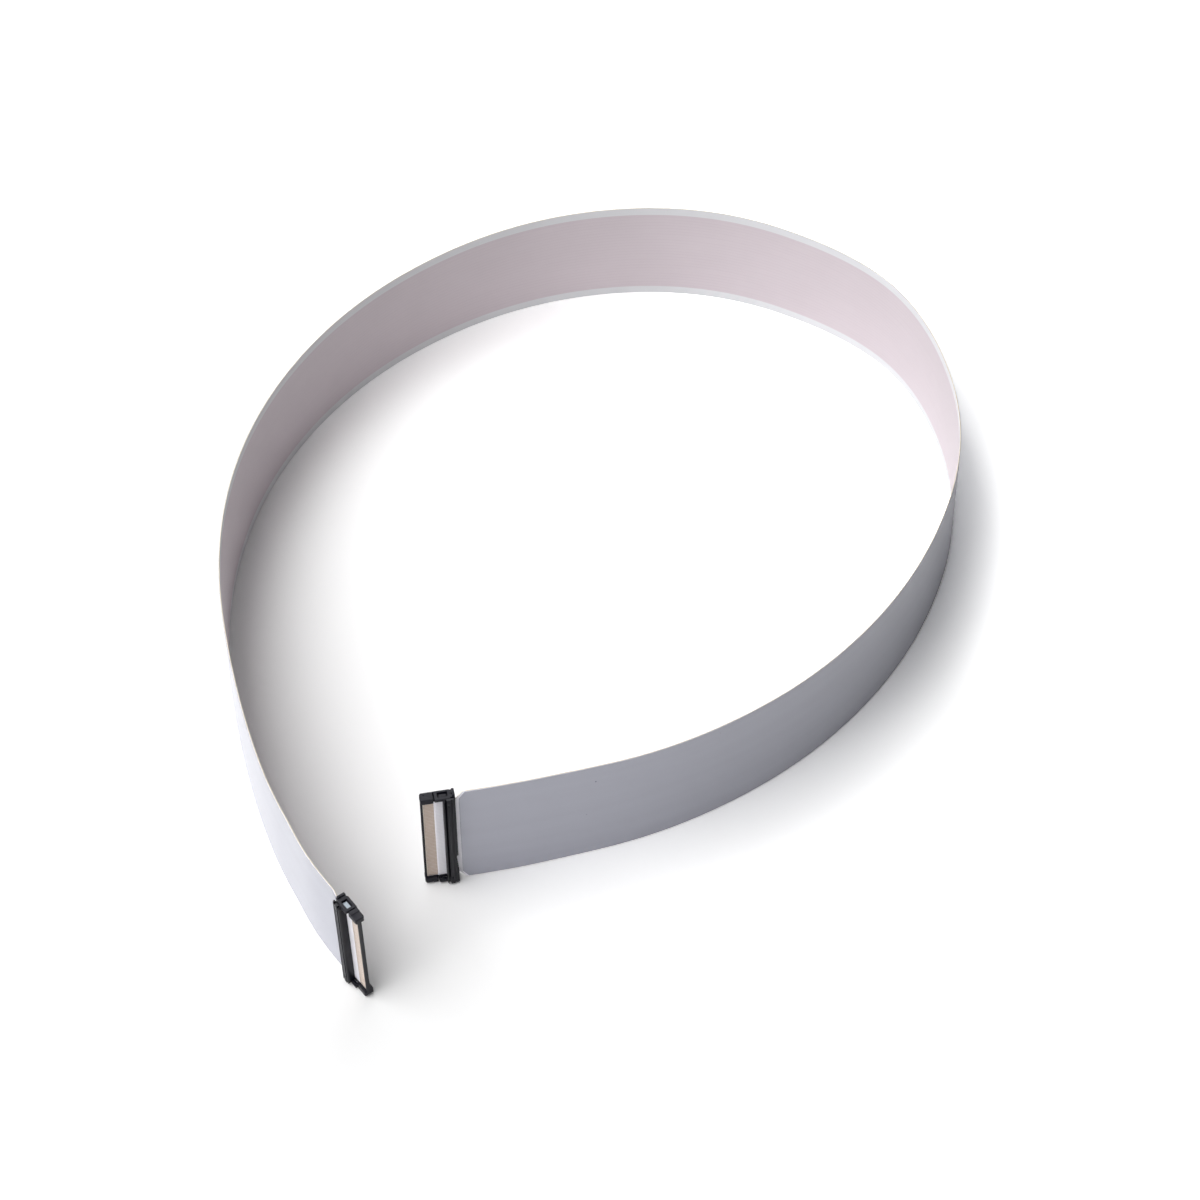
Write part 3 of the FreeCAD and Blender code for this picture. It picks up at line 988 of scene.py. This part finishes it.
@dataclass
class DressedNode:
    """A moulded piece: a merged copy of its solid whose sharp edges are eased."""

    place: PlugPlace
    node: str
    name: str
    # How far an edge is rounded, and in how many steps
    ease: float = 0.05 * MM
    steps: int = 2
    # Points of the solid nearer than this are one
    merge: float = 0.002 * MM
    # Faces that meet at less than the first angle are one, and edges past the second are eased
    flat: float = 1.0
    sharp: float = 35.0

    def build(self) -> bpy.types.Object:
        """Merges the copy's triangles into flat faces and rounds the edges between them.

        Returns:
            The new object.
        """
        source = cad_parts[self.node]
        mesh = bpy.data.meshes.new(self.name)
        work = bmesh.new()
        work.from_mesh(source.data)
        bmesh.ops.remove_doubles(work, verts=work.verts, dist=self.merge)
        bmesh.ops.dissolve_limit(work, angle_limit=math.radians(self.flat), verts=work.verts,
                                 edges=work.edges)
        work.to_mesh(mesh)
        work.free()
        points = np.zeros(len(mesh.vertices) * 3)
        mesh.vertices.foreach_get("co", points)
        shaped = self.place.put(self.shape(self.place.local(points.reshape(-1, 3))))
        mesh.vertices.foreach_set("co", shaped.ravel())
        obj = bpy.data.objects.new(self.name, mesh)
        bpy.context.scene.collection.objects.link(obj)
        bevel = obj.modifiers.new("eased edges", "BEVEL")
        bevel.width = self.ease
        bevel.segments = self.steps
        bevel.limit_method = "ANGLE"
        bevel.angle_limit = math.radians(self.sharp)
        bevel.harden_normals = True
        mesh.polygons.foreach_set("use_smooth", np.ones(len(mesh.polygons), bool))
        return obj

    def shape(self, local: np.ndarray) -> np.ndarray:
        """Leaves the solid's points where they are, in the plug's frame."""
        return local


@dataclass
class RibbedBar(DressedNode):
    """The cover bar, with its two grooves drawn deeper and a little wider than in the solid.

    The solid keeps shallow grooves. The photograph shows them as dark as deep ones.
    """

    # Distance of the grooves' floors out of the strip's middle, how closely a point is told by
    # it, and how much deeper the floors are drawn
    groove_floor: float = 1.72 * MM
    level_with: float = 0.01 * MM
    deeper: float = 0.6 * MM
    # Distances behind the plug's front face, in millimetres, at which the bar's section steps, in
    # the solid and as drawn
    solid_steps: tuple[float, ...] = (5.1, 5.52, 5.78, 6.88, 7.14, 7.48, 7.9)
    drawn_steps: tuple[float, ...] = (5.1, 5.42, 5.86, 6.78, 7.22, 7.54, 7.9)

    def shape(self, local: np.ndarray) -> np.ndarray:
        """Moves points along the bar's depth by linear steps, and the grooves' floors inwards.

        Args:
            local: the solid's points in the plug's frame.

        Returns:
            The moved points.
        """
        moved = local.copy()
        moved[:, 1] = np.interp(local[:, 1] / MM, self.solid_steps, self.drawn_steps) * MM
        floor = np.abs(local[:, 0] - self.groove_floor) < self.level_with
        moved[floor, 0] -= self.deeper
        return moved


@dataclass
class WindowKey:
    """The moulded block that fills most of a window and leaves a dark gap round it.

    It stands in the window without a tab: the upper one at plug A and the lower one at plug B.
    """

    place: PlugPlace
    # Middle and half size of the block's outline, out of the strip and behind the front face
    middle: tuple[float, float] = (-0.3 * MM, 5.2 * MM)
    half: tuple[float, float] = (0.47 * MM, 0.92 * MM)
    foot: float = PLUG_HALF - 0.77 * MM
    top: float = PLUG_HALF - 0.33 * MM
    round: float = 0.12 * MM
    # The outline's power: the larger, the squarer
    power: float = 7.0
    outline_points: int = 40
    rings: int = 5

    def build(self) -> bpy.types.Object:
        """Stacks rings of one rounded rectangle, a superellipse, and draws in the top ones.

        Returns:
            The closed block.
        """
        count = self.outline_points
        turn = np.linspace(0, 2 * math.pi, count, endpoint=False)
        circle = np.stack([np.cos(turn), np.sin(turn)], axis=-1)
        outline = np.sign(circle) * np.abs(circle) ** (2 / self.power)
        bend = np.linspace(0, math.pi / 2, self.rings)
        inset = np.concatenate([[0.0], self.round * (1 - np.cos(bend))])
        level = np.concatenate([[self.foot], self.top - self.round + self.round * np.sin(bend)])
        half = np.array(self.half) - inset[:, None]
        flat = np.array(self.middle) + outline[None] * half[:, None]
        height = np.broadcast_to(level[:, None, None], (len(level), count, 1))
        points = self.place.put(np.concatenate([flat, height], axis=-1).reshape(-1, 3))
        faces = [tuple(f) for f in grid_faces(len(level), count, True)]
        faces.append(tuple(range(count))[::-1])
        faces.append(tuple(range((len(level) - 1) * count, len(level) * count)))
        obj = make_object(f"window_key_{self.place.end.value}", points, faces)
        outward(obj)
        return obj


@dataclass
class Plug:
    """One moulded plug: housing, ribbed cover, contacts, tape and tab."""

    end: End

    def build(self, housing: bpy.types.Material, cover: bpy.types.Material,
              plated: bpy.types.Material, tape: bpy.types.Material,
              tin: bpy.types.Material) -> list[bpy.types.Object]:
        """Makes and dresses the plug's pieces.

        Args:
            housing: material of the housing.
            cover: material of the cover bar.
            plated: material of the contacts.
            tape: material of the reinforcing tape.
            tin: material of the window's tab.

        Returns:
            The plug's shown objects, CAD nodes among them.
        """
        tag = self.end.value
        place = PlugPlace(self.end)
        body = DressedNode(place, f"housing_{tag}", f"plug_{tag}_housing").build()
        bar = RibbedBar(place, f"cover_{tag}", f"plug_{tag}_cover").build()
        row = ContactRow(place).build()
        made = [finish_piece(body, [housing], Slot.HOUSING, f"housing_{tag}"),
                finish_piece(WindowKey(place).build(), [housing], Slot.HOUSING),
                finish_piece(bar, [cover], Slot.COVER, f"cover_{tag}"),
                finish_piece(row, [plated], Slot.CONTACTS, f"contacts_{tag}")]
        for node, material in ((f"stiffener_{tag}", tape), (f"ground_tab_{tag}", tin)):
            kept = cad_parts[node]
            kept.data.materials.clear()
            kept.data.materials.append(material)
            made.append(kept)
            log.info("%s: kept, new finish", node)
        return made


# Studio


@dataclass(frozen=True)
class SoftLamp:
    """A large square lamp that shines on the middle of the floor.

    Its power comes from the level that it gives a white sheet that faces it: level times pi
    squared times the distance squared. Its height above the floor and its turn from -X towards
    -Y are in degrees, its size and its distance in metres.
    """

    name: str
    level: float
    height: float
    turn: float
    size: float
    far: float

    def build(self) -> None:
        """Places the lamp and turns it towards the middle of the floor."""
        data = bpy.data.lights.new(self.name, "AREA")
        data.shape = "SQUARE"
        data.size = self.size
        data.energy = self.level * math.pi ** 2 * self.far ** 2
        lamp = bpy.data.objects.new(self.name, data)
        high, turn = math.radians(self.height), math.radians(self.turn)
        toward = Vector((-math.cos(high) * math.cos(turn), -math.cos(high) * math.sin(turn),
                         math.sin(high)))
        lamp.location = toward * self.far
        lamp.rotation_euler = toward.to_track_quat("Z", "Y").to_euler()
        bpy.context.scene.collection.objects.link(lamp)


@dataclass(frozen=True)
class PaintedShadowLift:
    """A growth of the floor's seen level, between two distances along the way on which it grows. It
    paints the floor's shadows lighter.
    """

    begin: float
    end: float
    growth: float


@dataclass
class Studio:
    """The photograph's camera, a pale floor, three soft lamps and a very dim sky.

    The strongest lamp stands on the left, weaker ones in front and behind.
    """

    camera_at: tuple[float, float, float] = (0.001, -0.5477, 0.6058)
    # The camera's angle below the level, in degrees
    camera_down: float = 47.7
    lens: float = 97.8
    sensor: float = 36.0
    camera_clip: tuple[float, float] = (0.01, 50.0)
    sky: float = 0.02
    lamps: tuple[SoftLamp, ...] = (
        SoftLamp("key", level=1.08, height=54.0, turn=10.0, size=1.3, far=1.3),
        SoftLamp("fill", level=0.36, height=40.0, turn=62.0, size=1.1, far=1.4),
        SoftLamp("back", level=0.29, height=50.0, turn=-80.0, size=1.0, far=1.5),
    )
    floor_colour: str = "#F6F6F6"
    floor_half: float = 3.0
    # The floor's seen level at the near left, where it is lowest, and its growth from there towards
    # the right and the back: to the loop's middle, on to its right side and past that. The growth
    # paints the floor's shadows lighter there.
    floor_seen: float = 0.92
    floor_way: tuple[float, float, float] = (1.0, 0.4, 0.0)
    painted_shadow_lifts: tuple[PaintedShadowLift, ...] = (
        PaintedShadowLift(-0.10, 0.0, 1.33), PaintedShadowLift(-0.01, 0.12, 1.2), PaintedShadowLift(0.07, 0.125, 1.45),
    )
    # Distances from the middle over which the floor turns as white as the world behind it
    floor_fades: float = 0.25
    floor_faded: float = 0.6

    def build(self) -> None:
        """Makes the camera, the sky, the lamps and the floor."""
        self._camera()
        self._sky()
        for lamp in self.lamps:
            lamp.build()
        self._floor()
        bpy.context.scene.view_settings.view_transform = "Standard"

    def _camera(self) -> None:
        """A long lens that looks down along +Y."""
        data = bpy.data.cameras.new("camera")
        data.lens = self.lens
        data.sensor_width = self.sensor
        data.clip_start, data.clip_end = self.camera_clip
        camera = bpy.data.objects.new("camera", data)
        camera.location = self.camera_at
        camera.rotation_euler = (math.radians(90 - self.camera_down), 0, 0)
        bpy.context.scene.collection.objects.link(camera)
        bpy.context.scene.camera = camera

    def _sky(self) -> None:
        """White where it is seen or mirrored, and an even level where it lights."""
        world = bpy.data.worlds.new("sky")
        bpy.context.scene.world = world
        world.use_nodes = True
        tree = world.node_tree
        tree.nodes.clear()
        path = add_node(tree, "ShaderNodeLightPath")
        seen = add_node(tree, "ShaderNodeMath", {"operation": "MAXIMUM"},
                        {0: path.outputs["Is Camera Ray"], 1: path.outputs["Is Glossy Ray"]})
        clear = add_node(tree, "ShaderNodeMath", {"operation": "MAXIMUM"},
                         {0: seen.outputs[0], 1: path.outputs["Is Transmission Ray"]})
        strength = add_node(tree, "ShaderNodeMapRange", {"To Min": self.sky, "To Max": 1.0},
                            {"Value": clear.outputs[0]})
        light = add_node(tree, "ShaderNodeBackground", {"Color": (1, 1, 1, 1)},
                         {"Strength": strength.outputs[0]})
        add_node(tree, "ShaderNodeOutputWorld", links={"Surface": light.outputs[0]})

    def _floor(self) -> None:
        """A wide matt sheet under the strip.

        Seen directly it is lifted until it is white outside the shadows, more at the right and
        the back, where the photograph's shadows are thinner. Far from the strip it is as white
        as the world behind it.
        """
        # The growing lift towards the right and the back paints the floor's shadows lighter there.
        corners = self.floor_half * np.array([(-1, -1, 0), (1, -1, 0), (1, 1, 0), (-1, 1, 0)])
        floor = make_object("floor", corners, [(0, 1, 2, 3)], smooth=False)
        material, tree, surface = new_material("white sweep paper")
        place = add_node(tree, "ShaderNodeTexCoord").outputs["Object"]
        direct = add_node(tree, "ShaderNodeLightPath").outputs["Is Camera Ray"]
        paper = linear(self.floor_colour)[0]
        level = add_node(tree, "ShaderNodeMapRange", {"To Min": paper},
                         {"Value": direct, "To Max": self._painted_floor_level(tree, place)})
        colour = add_node(tree, "ShaderNodeCombineColor",
                          links={i: level.outputs[0] for i in range(3)})
        sheet = add_node(tree, "ShaderNodeBsdfDiffuse", links={"Color": colour.outputs[0]})
        reach = add_node(tree, "ShaderNodeVectorMath", {"operation": "LENGTH"}, {0: place})
        far = add_node(tree, "ShaderNodeMapRange",
                       {"interpolation_type": "SMOOTHSTEP", "From Min": self.floor_fades,
                        "From Max": self.floor_faded}, {"Value": reach.outputs["Value"]})
        share = add_node(tree, "ShaderNodeMath", {"operation": "MULTIPLY"},
                         {0: far.outputs[0], 1: direct})
        white = add_node(tree, "ShaderNodeEmission", {"Color": (1, 1, 1, 1), "Strength": 1.0})
        shader = add_node(tree, "ShaderNodeMixShader",
                          links={0: share.outputs[0], 1: sheet.outputs[0], 2: white.outputs[0]})
        tree.links.new(shader.outputs[0], surface)
        floor.data.materials.append(material)

    def _painted_floor_level(self, tree: Tree, place: Socket) -> Socket:
        """The floor's seen level: its lowest times each growth, by distance along the way.

        Args:
            tree: the node tree.
            place: the place on the floor, in metres.

        Returns:
            The level.
        """
        # Each growth is painted light: it makes the floor's shadows lighter towards the right and
        # the back.
        away = add_node(tree, "ShaderNodeVectorMath",
                        {"operation": "DOT_PRODUCT", 1: self.floor_way}, {0: place})
        below: Links = {}
        for lift in self.painted_shadow_lifts:
            part = add_node(tree, "ShaderNodeMapRange",
                            {"interpolation_type": "SMOOTHSTEP", "From Min": lift.begin,
                             "From Max": lift.end, "To Min": 1.0, "To Max": lift.growth},
                            {"Value": away.outputs["Value"]})
            # Only the first product takes the lowest level, the others the product before them
            level = add_node(tree, "ShaderNodeMath", {"operation": "MULTIPLY", 0: self.floor_seen},
                             {**below, 1: part.outputs[0]})
            below = {0: level.outputs[0]}
        return below[0]


def main() -> None:
    logging.basicConfig(level=logging.INFO, format="%(name)s: %(message)s")
    Studio().build()
    path = StripPath()
    strip = FlexStrip(path)
    laminate = LaminateFinish()
    names = {Face.LINED: "polyester laminate over copper", Face.WHITE: "polyester laminate, white",
             Face.BARED: "polyester laminate, peeled", Face.CUT: "polyester laminate, cut edge"}
    ribbon = strip.build(LAMINATE)
    finish_piece(ribbon, [laminate.build(names[kind], kind) for kind in Face], Slot.LAMINATE,
                 "ribbon")
    strip.sort_faces(ribbon)
    skin = strip.build(FILM)
    shield = ShieldFinish().build("metallised polyester shield film")
    finish_piece(skin, [shield], Slot.SHIELD, "shield_film")
    black = MouldedFinish().build("moulded black polymer, housing")
    bar = MouldedFinish(colour="#0A0A12", worn="#11111A", roughness=0.38,
                        shine=0.2).build("moulded black polymer, cover")
    plated = PlatedFinish().build("gold flashed copper")
    tin = PlatedFinish(colour="#7A8188", roughness=0.35, clear=0.0,
                       wax=0.0).build("bright tin plate")
    tape = TapeFinish().build("blue polyester tape")
    plugs = {end: Plug(end).build(black, bar, plated, tape, tin) for end in End}
    free = np.linspace(PLUG_BACK, path.length - PLUG_BACK, CORD_POINTS)
    centre = path.at(free, np.array(0.0), np.array(0.0))
    log.info("strip length %.1f mm", path.length / MM)


if __name__ == "__main__":
    main()
